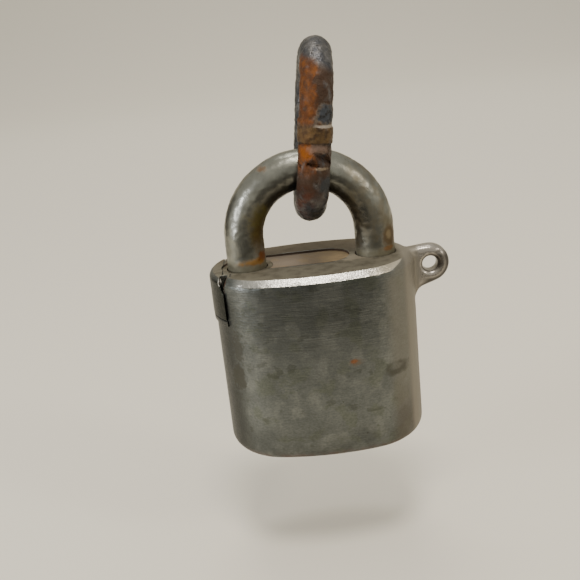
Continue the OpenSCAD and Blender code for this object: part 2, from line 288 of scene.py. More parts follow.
def castSteel(keeper=False):
    look = caseLook
    name = "groundCastSteelKeeper" if keeper else "groundCastSteel"
    material, place, (x, y, z), facing = newMaterial(name)
    top = topZ / mm
    front = rangeMask(y, 4, -8)
    streak = noiseMask(place, look["brushSize"], 0.25, 0.75, 2, (0.035, 0.3, 1))
    grit = noiseMask(place, look["gritSize"], 0.3, 0.72, 4, (0.55, 1, 1), 23)
    brushed = blendValue(0.12, 0.4, rangeMask(z, 20, 42))
    lowShade = both(rangeMask(z, 15, 2), noiseMask(place, 5.0, 0.15, 0.6, 4))
    colour = paintCoats(look["grey"], [
        (look["darkGrey"], 0.38, noiseMask(place, look["cloudSize"], 0.36, 0.64, 4)),
        (look["paleGrey"], 0.4, noiseMask(place, 4.4, 0.5, 0.64, 6, (1, 1, 0.8), 3)),
        (look["greenGrey"], 0.45, noiseMask(place, 6.0, 0.52, 0.62, 7, (1, 1, 1.2), 7)),
        ("#4d4f44", 0.4, noiseMask(place, 3.2, 0.6, 0.66, 7, (0.7, 1, 1), 27)),
        (look["shade"], 0.26, grit),
        (look["shade"], 1, both(streak, brushed)),
        (look["shade"], 0.5, lowShade),
    ])
    # painted shade darkens the broad face across its upper middle and along the heel edge, mottled
    upperMiddle = both(rangeMask(z, 30, 45), rangeMask(x, -21, -9), rangeMask(x, 24, 8), front)
    heelEdge = both(rangeMask(x, -20.5, -26), rangeMask(z, 52, 46))
    mottle = noiseMask(place, 4.5, 0.0, 0.45, 4, (1, 1, 1.3), 17)
    dim = both(either(both(upperMiddle, 0.32), heelEdge), mottle)
    colour = paintOver(colour, look["shade"], dim, 0.9)
    # painted shade and a painted brown reflection turn the toe end warm brown, darker towards the
    # bottom, with a soft boundary on the front
    warm = both(rangeMask(x, 16.8, 21), rangeMask(z, 53, 49))
    warm = either(warm, both(rangeMask(x, 19.5, 22.5), rangeMask(z, 49, 52)))
    endTone = paintOver(look["warmEnd"], "#5a5246", rangeMask(z, 26, 6))
    colour = paintOver(colour, endTone, warm, 0.62)
    # top face: matt and warm, paler where it is rubbed beside the toe leg
    flat = both(rangeMask(facing[2], 0.86, 0.97), rangeMask(z, top - 1, top - 0.3))
    topTone = paintOver(look["topFace"], "#5e594b", noiseMask(place, 3.2, 0.4, 0.7, 4))
    topTone = paintOver(topTone, "#5f523f", rangeMask(y, -1, 9), 0.6)
    rubbed = patchMask(place, (11.5, -3.5, top), (6, 2.6, 3), 0.9, 0.5, 1.6)
    topTone = paintOver(topTone, "#9a917f", rubbed, 0.7)
    colour = paintOver(colour, topTone, flat)
    # specks and pits
    speck = both(noiseMask(place, look["speckSize"], 0.67, 0.74, 3, seed=11),
                 noiseMask(place, 7.0, 0.45, 0.65, 2, seed=13))
    colour = paintOver(colour, look["grime"], speck, 0.75)
    # grime smears and one rust spot on the front face
    hollow = patchMask(place, (19.9, -15, 24.9), (1.7, 6, 0.9), 0.5, 0.5, 1.8)
    marks = both(front, either(
        patchMask(place, (-23.6, -12, 25.2), (2.0, 6, 3.6), 0.9, 0.25, 1.6),
        both(patchMask(place, (-23.0, -13, 34.5), (1.3, 6, 4.4), 1.5, 0.25, 0.9), 0.8),
        both(patchMask(place, (20.4, -15, 24.4), (3.2, 6, 1.9), 0.7, 0.35, 2.6),
             blendValue(1.0, 0.25, hollow)),
        both(patchMask(place, (-1.5, -19, 36.5), (3.0, 4, 0.6), 1.1, 0.5, 2.2), 0.5)))
    colour = paintOver(colour, look["grime"], marks, 0.85)
    spot = both(patchMask(place, (8.7, -19, 28.7), (1.9, 4, 1.2), 0.6, 0.45, 0.8), front)
    spotCore = both(patchMask(place, (8.2, -19, 29.0), (1.0, 4, 0.6), 0.4, 0.4, 0.6), front)
    colour = paintOver(colour, "#4a3a22", spot, 0.75)
    colour = paintOver(colour, "#6e3f16", spotCore, 0.85)
    # rust creeps up from the bottom edge and along the toe end
    foot = both(rangeMask(z, 3.4, 0.6), noiseMask(place, 2.6, 0.35, 0.6, 4),
                blendValue(1.0, 0.5, rangeMask(facing[2], -0.9, -0.98)))
    colour = paintOver(colour, look["darkRust"], foot, 0.75)
    toeRust = both(rangeMask(x, 24, 27.5), rangeMask(z, 20, 12),
                   noiseMask(place, 3.0, 0.42, 0.6, 4, (1, 1, 0.6), 9))
    colour = paintOver(colour, "#6b4524", toeRust, 0.45)
    # rust on the walls of the gap beside the keeper, and dark brown on every wall sunk into the top
    # face: partly grime, partly painted shade
    sideways = join("ABSOLUTE", facing[1], 0)
    gap = both(rangeMask(x, -23.2, -23.4), rangeMask(x, -26.6, -26.3),
               rangeMask(z, top - 5, top - 4.6),
               rangeMask(facing[0], -0.80, -0.84), rangeMask(y, -7, -7.4),
               rangeMask(sideways, 0.5, 0.4))
    back = both(rangeMask(x, -23.2, -23.4), rangeMask(z, top - 5, top - 4.6),
                rangeMask(facing[1], -0.95, -0.97), rangeMask(y, -9.5, -9))
    gap = either(gap, back)
    colour = paintOver(colour, look["darkRust"], gap, 0.9)
    pastEnd = join("MAXIMUM", join("ADD", join("ABSOLUTE", x, 0), -10.7), 0.0)
    plan = addNode(material.node_tree, "ShaderNodeCombineXYZ", None, {0: pastEnd, 1: y})
    reachOut = fromAxis(plan.outputs[0], (0, 0, 0), (1, 1, 1))
    wall = both(rangeMask(facing[2], 0.88, 0.7), rangeMask(z, top - 8, top - 7),
                rangeMask(reachOut, 15.2, 14.9))
    colour = paintOver(colour, "#38240f", wall, 0.95)
    # the rubbed bright band along the chamfer, bare steel with a painted highlight on it, fading to
    # both ends
    late = addNode(material.node_tree, "ShaderNodeMapRange",
                   {"From Min": 18.5, "From Max": 25.5, "To Max": -2.3}, {"Value": x})
    risen = join("ADD", z, late.outputs[0])
    slant = both(rangeMask(facing[2], 0.3, 0.5), rangeMask(facing[2], 0.97, 0.86),
                 rangeMask(risen, top - 2.4, top - 1.9), rangeMask(reachOut, 15.6, 16))
    edgeLine = rangeMask(facing[2], 0.62, 0.5)
    rubbedEnd = either(rangeMask(x, -20, -9), both(rangeMask(x, -24, -18), 0.55), edgeLine)
    reach = both(rangeMask(x, -24, -20), rubbedEnd, rangeMask(x, 25.5, 23))
    bareAndHighlight = both(slant, reach, noiseMask(place, 0.9, 0.1, 0.4, 5, (0.6, 1, 1), 2))
    sandy = noiseMask(place, 0.5, 0.3, 0.7, 3, seed=19)
    colour = paintOver(colour, look["brightEdgeAndHighlight"], both(bareAndHighlight, blendValue(0.62, 0.98, sandy)))
    sandyEnd = both(bareAndHighlight, rangeMask(x, 11, 20))
    colour = paintOver(colour, "#ccbfa5", sandyEnd, 0.75)
    # ear: rubbed smooth and bright, with painted shade round the rim's lower right turn, on its
    # downward faces and on the flare's right side, and a matt warm root
    towards = addNode(material.node_tree, "ShaderNodeVectorMath", {1: (0.8, 0, -0.6)}, {0: place},
                      operation="DOT_PRODUCT").outputs["Value"]
    earTowards = (0.8 * earCentre.x - 0.6 * earCentre.z) / mm
    earSide = rangeMask(x, 28.5, 30.5)
    rimShade = both(earSide, rangeMask(fromAxis(place, tuple(earCentre / mm)), 3.7, 4.7),
                 rangeMask(towards, earTowards + 0.3, earTowards + 2.6))
    flareShade = patchMask(place, (earCentre.x / mm + 2.4, -2.0, earCentre.z / mm + 0.7),
                           (1.2, 2.6, 2.7), 0.35, 0.5, 1.2)
    root = both(rangeMask(x, 23.6, 25.4), rangeMask(x, 30.5, 28.6))
    colour = paintCoats(colour, [
        ("#a09a91", 0.9, earSide),
        ("#332e28", 0.92, rimShade),
        ("#4b4740", 0.75, both(earSide, rangeMask(facing[2], -0.1, -0.6))),
        ("#37312a", 0.8, flareShade),
        ("#807a6d", 0.85, root),
    ])
    if keeper:
        # painted shade darkens the keeper's upright sides, mottled
        side = both(rangeMask(facing[2], 0.6, 0.3), noiseMask(place, 3.0, 0.0, 0.4, 4))
        colour = paintOver(colour, "#292b25", side, 0.92)
        # a painted highlight along the keeper's lip beside the gap
        lip = patchMask(place, (-26.0, -8, top - 1.5), (0.45, 3, 0.95), 0.25, 0.35, 0.8)
        colour = paintOver(colour, look["brightEdgeAndHighlight"], lip, 0.85)
    dull = either(foot, marks, spot, gap, wall, both(flat, 0.45), both(warm, 0.3), both(root, 0.55),
                  both(rimShade, 0.7))
    rough = 0.38
    for level, mask in ((0.5, grit), (0.72, either(flat, marks, foot, gap, wall)), (0.58, warm),
                        (0.3, bareAndHighlight), (0.27, earSide), (0.5, rimShade), (0.58, root)):
        rough = blendValue(rough, level, mask)
    grain = noiseMask(place, 0.55, 0.2, 0.8, 3, seed=21)
    upper = both(streak, rangeMask(z, 20, 46), front, rangeMask(facing[2], 0.4, 0.2))
    heights = [(grain, 0.02), (rest(speck), 0.05), (upper, 0.03), (both(bareAndHighlight, sandy), 0.05)]
    return finishMaterial(material, colour, rest(both(dull, 0.85)), rough, heights)


# Shackle: drawn round bar, satin bright where rubbed, with soft pitting and rust at its feet.
shackleLook = {
    "steel": "#98988e",
    "dark": "#575750",
    "pitSize": 0.8,
    "patches": {
        # place, size, raggedness, edge, grain, tone, strength
        "stain": ((-12.6, -2.0, archZ / mm + 4.5), (4.2, 6, 6.5), 0.8, 0.5, 2.4, "#564d20", 0.85),
        "drip": ((-13.6, -2.5, topZ / mm + 6.5), (2.2, 4.5, 7), 0.8, 0.5, 1.8, "#4a3616", 0.6),
        "footRust": ((-16.1, -4.2, topZ / mm + 1.9), (4.1, 3.6, 1), 0.55, 0.5, 1.6, "#87601f", 0.85),
        "footCore": ((-13.5, -3.2, topZ / mm + 3.0), (1.3, 2.8, 1.2), 0.7, 0.5, 1.2, "#6a3a0e", 0.85),
        "toePatch": ((22.0, -3.6, topZ / mm + 5.0), (2.3, 4.0, 2.9), 0.6, 0.4, 1.4, "#4a3616", 0.8),
        "toeEye": ((21.7, -4.2, topZ / mm + 5.6), (0.75, 2.6, 1.25), 0.4, 0.4, 1.0, "#7c6f55", 0.7),
        "toeFoot": ((21.6, -4.4, topZ / mm + 1.8), (1.9, 2.6, 0.75), 0.5, 0.45, 1.3, "#6f4b1e", 0.75),
        "spot": ((-10.6, -2.2, archZ / mm + 19.6), (1.7, 2.0, 0.9), 0.6, 0.45, 1.1, "#5f421f", 0.8),
    },
    "rusty": ("stain", "drip", "footRust", "toePatch", "toeFoot", "spot"),
}


def shackleSteel():
    look = shackleLook
    material, place, (x, _, z), _ = newMaterial("satinShackleSteel")
    top, arch, leg = topZ / mm, archZ / mm, legX / mm
    cloud = noiseMask(place, 4.2, 0.3, 0.72, 4, (1, 1, 0.7))
    pit = both(noiseMask(place, look["pitSize"], 0.6, 0.74, 3, seed=4),
               noiseMask(place, 6.0, 0.4, 0.62, 2, seed=6))
    colour = paintOver(look["steel"], look["dark"], cloud, 0.6)
    colour = paintOver(colour, look["dark"], pit, 0.6)
    # painted shade darkens the inside of the arch
    inner = both(rangeMask(fromAxis(place, (0, 0, arch)), leg + 1.2, leg - 3.2),
                 rangeMask(z, arch - 4, arch + 2))
    colour = paintOver(colour, "#3a3630", inner, 0.85)
    # the toe leg is duller and browner than the heel leg
    dull = both(rangeMask(x, 10, 13), noiseMask(place, 2.4, 0.35, 0.62, 4, (1, 1, 0.8), 27))
    colour = paintOver(colour, "#746b55", dull, 0.55)
    outside = both(rangeMask(x, 19.5, 22), rangeMask(z, arch + 8, arch))
    colour = paintOver(colour, "#5b5443", outside, 0.6)
    colour, masks = paintPatches(colour, place, look["patches"])
    film = both(rangeMask(z, top + 3.4, top + 0.8), rangeMask(z, top - 4, top - 1.5))
    colour = paintOver(colour, "#6f6a55",
                       both(film, rest(either(masks["footRust"], masks["toeFoot"]))), 0.7)
    rusty = either(*(masks[name] for name in look["rusty"]), both(film, 0.7))
    rough = blendValue(0.27, 0.38, cloud)
    for level, mask in ((0.45, pit), (0.46, dull), (0.62, both(rusty, 0.9))):
        rough = blendValue(rough, level, mask)
    fine = noiseMask(place, 2.2, 0.2, 0.8, 4, seed=8)
    return finishMaterial(material, colour, rest(both(rusty, 0.6)), rough,
                          [(fine, 0.03), (rest(pit), 0.02)], 0.2)


# Chain link: welded steel link, rusted red-brown on its front bar and dark blue-grey on its bows.
linkLook = {
    "blueGrey": "#4b4c50",
    "paleGrey": "#807d79",
    "purple": "#3d2a1b",
    "orange": "#5c3519",
    "brightRust": "#73441c",
    "tan": "#5f4b30",
    "dark": "#1d1917",
}


def linkSteel():
    look = linkLook
    # patterns follow the leaning link: z runs along its length from the lower bow's centre line
    turned = Matrix.Rotation(-linkFrame["lean"], 3, "Y") @ linkFrame["origin"]
    material, place, (x, y, z), _ = newMaterial(
        "rustedChainSteel", (0, -linkFrame["lean"], 0), tuple(-c / mm for c in turned))
    bow, straight, weldLow, cutZ = (linkFrame[key] / mm
                                    for key in ("bowRadius", "straight", "weldLow", "chiselZ"))
    cloud = noiseMask(place, 2.6, 0.35, 0.65, 5)
    colour = paintOver(look["blueGrey"], look["paleGrey"], cloud, 0.6)
    colour = paintOver(colour, look["dark"], noiseMask(place, 1.1, 0.56, 0.68, 4, seed=3), 0.7)
    sloped = join("ADD", join("MULTIPLY", x, 0.45), z)
    frontBar = both(rangeMask(y, -4, -7), rangeMask(z, 0.5, 7.5),
                    rangeMask(sloped, bow + straight + 11.4, bow + straight + 8.6))
    ragged = both(frontBar, noiseMask(place, 2.2, 0.25, 0.5, 4, (1, 1, 0.7), 5))
    colour = paintOver(colour, look["purple"], ragged, 0.9)
    drift = noiseMask(place, 2.4, 0.2, 0.8, 4, (1, 1, 0.5), 16)
    wandering = join("ADD", join("MULTIPLY", drift, 4.5), x)
    left = both(rangeMask(wandering, 2.9, 1.2), frontBar, rangeMask(z, 9, 13))
    rustTone = paintOver(look["orange"], look["brightRust"],
                         noiseMask(place, 1.4, 0.4, 0.65, 4, (1, 1, 0.5), 6))
    colour = paintOver(colour, rustTone, both(left, noiseMask(place, 1.6, 0.25, 0.6, 5)), 0.85)
    weld = both(rangeMask(z, weldLow - 0.2, weldLow + 0.2),
                rangeMask(z, weldLow + 5.4, weldLow + 4.2), frontBar)
    weldTone = paintOver(look["tan"], "#3f3122", noiseMask(place, 1.3, 0.35, 0.65, 5, seed=14))
    colour = paintOver(colour, weldTone, weld, 0.85)
    lowRust = both(rangeMask(z, 9.5, 5), rangeMask(x, 1.5, -1.5), rangeMask(y, -5, -9),
                   noiseMask(place, 2.4, 0.35, 0.6, 4))
    colour = paintOver(colour, "#46220f", lowRust, 0.8)
    blueTone = paintOver("#3a4149", "#1f2226", noiseMask(place, 0.9, 0.4, 0.65, 4, seed=15))
    colour, masks = paintPatches(colour, place, {
        # place, size, raggedness, edge, grain, tone, strength
        "seam": ((0, -bow - 3, weldLow - 0.1), (8, 6, 0.5), 0.6, 0.4, 1.0, look["dark"], 0.8),
        "paleRim": ((2.3, -bow - 4, weldLow + 7.2), (3.0, 5, 2.9), 0.7, 0.3, 1.2, "#857a6c", 0.5),
        "bluePatch": ((2.6, -bow - 4, weldLow + 7.5), (2.5, 5, 2.4), 0.8, 0.3, 1.2, blueTone, 0.9),
        "step": ((2.9, -bow - 4, weldLow + 4.6), (3.2, 6, 0.4), 0.6, 0.4, 1.1, "#a39b90", 0.7),
        "glow": ((-2.4, -bow - 3.6, weldLow - 1.9), (1.9, 3, 2.0), 0.6, 0.4, 1.1, "#84490f", 0.8),
        # the chisel cut: a pale torn facet above, painted shade in the hollow on its left and a
        # bright ridge below
        "torn": ((0.6, -bow - 4, cutZ + 1.9), (2.6, 4, 1.3), 0.5, 0.4, 1.0, "#7a665a", 0.7),
        "hollowShade": ((-0.9, -bow - 3.6, cutZ - 1.5), (1.1, 3.4, 0.9), 0.5, 0.4, 1.0, "#2a1b10", 0.8),
        "ridge": ((1.8, -bow - 4, cutZ - 3.0), (1.6, 5, 0.35), 0.9, 0.5, 0.9, "#93846f", 0.6),
        "coolSide": ((3.2, -bow - 2, 8.2), (2.0, 6, 2.2), 0.6, 0.4, 1.4, "#33383c", 0.8),
    })
    rust = either(both(ragged, 0.75), left, masks["glow"], lowRust)
    metal = join("ADD", join("MULTIPLY", rust, -0.75), 0.95)
    rough = blendValue(blendValue(0.4, 0.68, rust), 0.45, cloud)
    coarse = noiseMask(place, 1.1, 0.25, 0.75, 5, seed=31)
    fine = noiseMask(place, 0.4, 0.3, 0.7, 3, seed=32)
    return finishMaterial(material, colour, metal, rough, [(coarse, 0.12), (fine, 0.04)], 0.15)


def stainedPlugSteel():                             # mild steel plate, stained tan: matt and patchy
    material, place, (x, _, _), _ = newMaterial("stainedPlugSteel")
    colour = paintOver("#8a7759", "#9e8864", noiseMask(place, 4.0, 0.35, 0.65, 4, (0.6, 1, 1)))
    grey = both(rangeMask(x, 8, -4), noiseMask(place, 5, 0.25, 0.5, 3, seed=3))
    colour = paintOver(colour, "#86796a", grey)
    return finishMaterial(material, colour, 0.5, 0.62, [(noiseMask(place, 0.7, 0.3, 0.7, 3), 0.02)])


def turnedMetal(name, bright, dull, roughness):     # turned or drawn small parts, lightly aged
    material, place, _, _ = newMaterial(name)
    tone = noiseMask(place, 2.2, 0.35, 0.7, 4)
    marks = noiseMask(place, 0.3, 0.3, 0.7, 2, (1, 1, 0.2))
    return finishMaterial(material, paintOver(bright, dull, tone, 0.7), 1.0,
                          blendValue(roughness, roughness + 0.2, tone), [(marks, 0.01)])


# Case: built by rule as a fine stack of its plan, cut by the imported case, then worn and dented
caseSizes = {
    "roundEnd": 17.9 * mm,                           # radius of the plan's two ends
    "crown": 1.1 * mm,                               # swell of the broad faces past the ends
    "fillet": 3.75 * mm,
    "chamfer": 1.6 * mm,
    "inset": 0.05 * mm,                              # metal worn off all over
    "spacing": 0.5 * mm,
    "earRim": 1.6 * mm,
    "earRing": 4.1 * mm,
    "earHalf": 1.0 * mm,
    "earVoxel": 0.34 * mm,
    "ledgeProud": 0.6 * mm,
    "ledgeHeight": 2 * mm,
    "sharpAngle": 32,                                # in degrees; sharper edges stay crisp
    "skin": {"Wave Depth": 0.12 * mm, "Wave Size": 8 * mm, "Dent Depth": 0.05 * mm,
             "Dent Size": 1.5 * mm, "Nibble Depth": 0.34 * mm, "Nibble Height": topZ - 1.6 * mm,
             "Blend Steps": 26, "Blend Start": 20 * mm, "Blend Low": topZ - 17 * mm},
}
earCentre = Vector((caseHigh.x - caseSizes["earRing"] - caseSizes["earRim"], 0,
                    earZ - caseSizes["earRing"] - caseSizes["earRim"]))
keeperSizes = {
    "voxel": 0.2 * mm,
    "smoothing": 2,
    "skin": {"Wave Depth": 0.10 * mm, "Wave Size": 6 * mm, "Dent Depth": 0.08 * mm,
             "Dent Size": 1.4 * mm},                  # no nibbles and no blend here
}


def planPoints(inset):                               # even points round the case's plan
    sizes = caseSizes
    end, halfThick = sizes["roundEnd"], caseHigh.y
    endX = -caseLow.x - sizes["ledgeProud"] - end
    face = (endX ** 2 + halfThick ** 2 - end ** 2) / (2 * sizes["crown"])
    faceY = face - halfThick
    tangent = math.atan2(faceY, endX)
    arcs = [((endX, 0), end, -tangent, tangent), ((0, -faceY), face, tangent, math.pi - tangent),
            ((-endX, 0), end, math.pi - tangent, math.pi + tangent),
            ((0, faceY), face, math.pi + tangent, 2 * math.pi - tangent)]
    points = []
    for (x, y), radius, start, stop in arcs:
        steps = round(radius * (stop - start) / sizes["spacing"])
        for i in range(steps):
            a = start + (stop - start) * i / steps
            points.append((x + (radius - inset) * math.cos(a), y + (radius - inset) * math.sin(a)))
    return points


def caseLevels():                                    # (height, inset), bottom's middle to the top's
    sizes = caseSizes
    skin, fillet, chamfer = sizes["inset"], sizes["fillet"], sizes["chamfer"]
    top = topZ - skin
    levels = [(skin, fillet + step * 1.3 * mm) for step in range(10, 0, -1)]
    for i in range(11):
        a = math.pi / 2 * i / 10
        levels.append((fillet - (fillet - skin) * math.cos(a), skin + fillet * (1 - math.sin(a))))
    edge = top - chamfer
    rows = round((edge - fillet) / sizes["spacing"])
    levels += [(fillet + (edge - 0.5 * mm - fillet) * i / rows, skin) for i in range(1, rows + 1)]
    levels += [(edge - drop * mm, skin) for drop in (0.3, 0.15, 0.05, 0)]
    levels += [(edge + chamfer * share, skin + chamfer * share)
               for share in (0.04, 0.12, 0.3, 0.5, 0.7, 0.88, 0.96, 1)]
    levels += [(top, skin + chamfer + reach * mm)
               for reach in (0.08, 0.2, 0.5, 0.9, 1.4, 2, 2.8, 3.8, 5, 6.4, 8, 9.8, 11.8, 13.6)]
    return levels


def tubePiece(name, rings):                         # rings of points, skinned and capped
    count, points = len(rings[0]), [point for ring in rings for point in ring]
    faces = [list(range(count))[::-1], [len(points) - count + i for i in range(count)]]
    for k in range(len(rings) - 1):
        for i in range(count):
            following = (i + 1) % count
            faces.append((k * count + i, k * count + following, (k + 1) * count + following,
                          (k + 1) * count + i))
    return meshPiece(name, points, [], faces)


def hullPiece(name, points):
    shape = bmesh.new()
    for point in points:
        shape.verts.new(point)
    hull = bmesh.ops.convex_hull(shape, input=shape.verts)
    spare = set(hull["geom_interior"] + hull["geom_unused"])
    spare = [part for part in spare if isinstance(part, bmesh.types.BMVert)]
    bmesh.ops.delete(shape, geom=spare, context="VERTS")
    return shapePiece(name, shape)


def knob(centre, radius, steps=12):                  # points on a small sphere
    points = []
    for i in range(steps + 1):
        tilt = math.pi * i / steps
        for k in range(2 * steps):
            turn = math.pi * k / steps
            points.append(centre + radius * Vector((math.sin(tilt) * math.cos(turn),
                                                    math.sin(tilt) * math.sin(turn), math.cos(tilt))))
    return points


def earPiece():                                      # the ear's plate, with the blend under it
    sizes = caseSizes
    rim, half = sizes["earRim"] - sizes["inset"], sizes["earHalf"]
    centre = earCentre
    plate = []
    for side in (-half, half):
        for i in range(64):
            a = 2 * math.pi * i / 64
            spoke = Vector((math.cos(a), 0, math.sin(a)))
            for k in range(20):
                b = 2 * math.pi * k / 20
                plate.append(centre + spoke * (sizes["earRing"] + rim * math.cos(b))
                             + Vector((0, side + rim * math.sin(b), 0)))
        plate += knob(Vector((centre.x - 9 * mm, side, topZ - sizes["earRim"] - 0.15 * mm)), rim)
        plate += knob(centre + Vector((-6.6 * mm, side, -6.5 * mm)), rim)
    web = []
    for side in (-half, half):
        for x, z in ((-3.2, -6.3), (-5, -9.6), (-6.6, -6.5)):
            web += knob(centre + Vector((x * mm, side, z * mm)), 0.45 * mm, 6)
    ear = combine(hullPiece("earPlate", plate), [hullPiece("earWeb", web)], "UNION")
    remesh = ear.modifiers.new("evenFaces", "REMESH")
    remesh.mode = "VOXEL"
    remesh.voxel_size = sizes["earVoxel"]
    return freeze(ear)


def ledgePiece():                                    # the proud ledge that the keeper stands on
    sizes = caseSizes
    proud, end = sizes["ledgeProud"] - sizes["inset"], sizes["roundEnd"]
    high = ledgeZ - sizes["inset"]
    low = high - sizes["ledgeHeight"]
    profile = [(end - 3 * mm, low - 0.35 * mm), (end - 0.4 * mm, low - 0.35 * mm),
               (end + proud, low + proud), (end + proud, high - 0.3 * mm),
               (end + proud - 0.3 * mm, high), (end - 3 * mm, high)]
    reach = math.acos(-(keeperHigh.x - 2.15 * mm + endCentre()) / (end + proud))
    rings = []
    for i in range(81):
        a = math.pi + reach - 2 * reach * i / 80
        rings.append([(-endCentre() + r * math.cos(a), r * math.sin(a), z) for r, z in profile])
    return tubePiece("ledge", rings)


def endCentre():
    return -caseLow.x - caseSizes["ledgeProud"] - caseSizes["roundEnd"]


def mergedCopy(nodeName):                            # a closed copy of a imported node
    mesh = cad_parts[nodeName].data.copy()
    shape = bmesh.new()
    shape.from_mesh(mesh)
    bmesh.ops.remove_doubles(shape, verts=shape.verts, dist=0.001 * mm)
    shape.to_mesh(mesh)
    shape.free()
    return addPiece(nodeName + "Copy", mesh)


def startTree(name, sizes, whole):                  # float sizes, one whole number, a material
    tree = bpy.data.node_groups.new(name, "GeometryNodeTree")
    sockets = [("Geometry", "INPUT", "Geometry"), *((size, "INPUT", "Float") for size in sizes),
               (whole, "INPUT", "Int"), ("Material", "INPUT", "Material"),
               ("Geometry", "OUTPUT", "Geometry")]
    for label, way, kind in sockets:
        tree.interface.new_socket(label, in_out=way, socket_type="NodeSocket" + kind)
    return (tree, addNode(tree, "NodeGroupInput").outputs,
            addNode(tree, "GeometryNodeInputPosition").outputs[0])


def unevenness(given, position, detail, seeds, shape):
    heights = []
    for label, seed in zip(("Wave", "Dent"), seeds):
        rate = addNode(position.id_data, "ShaderNodeMath", {0: 1.0}, {1: given[label + " Size"]},
                       operation="DIVIDE")
        noise = addNode(position.id_data, "ShaderNodeTexNoise", {"Detail": detail, "W": seed},
                        {"Vector": position, "Scale": rate.outputs[0]}, noise_dimensions="4D")
        heights.append(both(shape(noise.outputs[0]), given[label + " Depth"]))
    return join("ADD", *heights)


def endTree(given, surface, height):                # push the surface out, then give it its steel
    tree = height.id_data
    normal = addNode(tree, "GeometryNodeInputNormal").outputs[0]
    offset = addNode(tree, "ShaderNodeVectorMath", None, {0: normal, "Scale": height},
                     operation="SCALE")
    moved = addNode(tree, "GeometryNodeSetPosition", None,
                    {"Geometry": surface, "Offset": offset.outputs[0]})
    smooth = addNode(tree, "GeometryNodeSetShadeSmooth", None, {0: moved.outputs[0]})
    real = addNode(tree, "GeometryNodeRealizeInstances", None, {0: smooth.outputs[0]})
    painted = addNode(tree, "GeometryNodeSetMaterial", None,
                      {"Geometry": real.outputs[0], "Material": given["Material"]})
    addNode(tree, "NodeGroupOutput", None, {0: painted.outputs[0]})
    return tree


def skinTree():
    tree, given, position = startTree("wornSkin", (
        "Wave Depth", "Wave Size", "Dent Depth", "Dent Size", "Nibble Depth", "Nibble Height",
        "Blend Start", "Blend Low"), "Blend Steps")
    x, _, z = addNode(tree, "ShaderNodeSeparateXYZ", None, {0: position}).outputs
    # the ear's root is cast into the case with a soft blend
    past = join("SUBTRACT", x, given["Blend Start"])
    nearEar = both(rangeMask(past, 0.0, 5 * mm), rangeMask(past, 10.4 * mm, 8.8 * mm, 0.55))
    # the bore round the toe leg and the flared hole in the ear keep their edges
    offLeg = rangeMask(fromAxis(position, (legX, 0, 0), (1, 1, 0)), 6.3 * mm, 8 * mm)
    offHole = rangeMask(fromAxis(position, tuple(earCentre)), 3.9 * mm, 4.9 * mm)
    startZ = join("ADD", given["Blend Low"], 5 * mm)
    rising = addNode(tree, "ShaderNodeMapRange", None,
                     {"Value": z, "From Min": given["Blend Low"], "From Max": startZ},
                     interpolation_type="SMOOTHSTEP").outputs[0]
    blurred = addNode(tree, "GeometryNodeBlurAttribute", None,
                      {"Value": position, "Iterations": given["Blend Steps"],
                       "Weight": both(nearEar, offLeg, offHole, rising)}, data_type="FLOAT_VECTOR")
    softened = addNode(tree, "GeometryNodeSetPosition", None,
                       {"Geometry": given["Geometry"], "Position": blurred.outputs[0]})
    height = unevenness(given, position, 2.0, (2.0, 5.0), lambda noise: join("ADD", noise, -0.6))
    # nibbles: the chamfer's lower edge is worn unevenly, only inwards
    fromEdge = join("ABSOLUTE", join("SUBTRACT", z, given["Nibble Height"]), 0)
    nibble = addNode(tree, "ShaderNodeTexNoise", {"Scale": 1 / (2.2 * mm), "Detail": 4.0},
                     {"Vector": position})
    bite = addNode(tree, "ShaderNodeMapRange", {"From Min": 0.4, "From Max": 0.75},
                   {"Value": nibble.outputs[0]})
    worn = both(rangeMask(fromEdge, 0.9 * mm, 0.0), bite.outputs[0], given["Nibble Depth"])
    return endTree(given, softened.outputs[0], join("SUBTRACT", height, worn))


def makeCase(material, tree):
    rings = [[(x, y, z) for x, y in planPoints(inset)] for z, inset in caseLevels()]
    piece = tubePiece("caseBody", rings)
    combine(piece, [earPiece(), ledgePiece()], "UNION")
    combine(piece, [mergedCopy("case")], "INTERSECT")
    piece.data.materials.clear()
    grow(piece, tree, caseSizes["skin"], material)
    piece.data.set_sharp_from_angle(angle=math.radians(caseSizes["sharpAngle"]))
    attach(piece, "case")
    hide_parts("case")
    return piece


def makeKeeper(material, tree):
    piece = mergedCopy("heel_keeper")
    piece.name = "heelKeeper"
    piece.data.materials.clear()
    remesh = piece.modifiers.new("evenFaces", "REMESH")
    remesh.mode = "VOXEL"
    remesh.voxel_size = keeperSizes["voxel"]
    remesh.use_smooth_shade = True
    soften = piece.modifiers.new("soften", "SMOOTH")
    soften.factor = 0.5
    soften.iterations = keeperSizes["smoothing"]
    grow(piece, tree, keeperSizes["skin"], material)
    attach(piece, "case")
    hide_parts("heel_keeper")
    return piece


# Bars: the shackle and the link are round bar swept along a path, with dents all over
barSizes = {
    "shackle": {"Bar Radius": barRadius, "Ring Spacing": 0.5 * mm, "Sides": 76,
                "Wave Depth": 0.10 * mm, "Wave Size": 5 * mm, "Dent Depth": 0.10 * mm,
                "Dent Size": 1.3 * mm},
    "link": {"Bar Radius": barRadius, "Ring Spacing": 0.36 * mm, "Sides": 80,
             "Wave Depth": 0.22 * mm, "Wave Size": 3.4 * mm, "Dent Depth": 0.14 * mm,
             "Dent Size": 0.9 * mm},
}


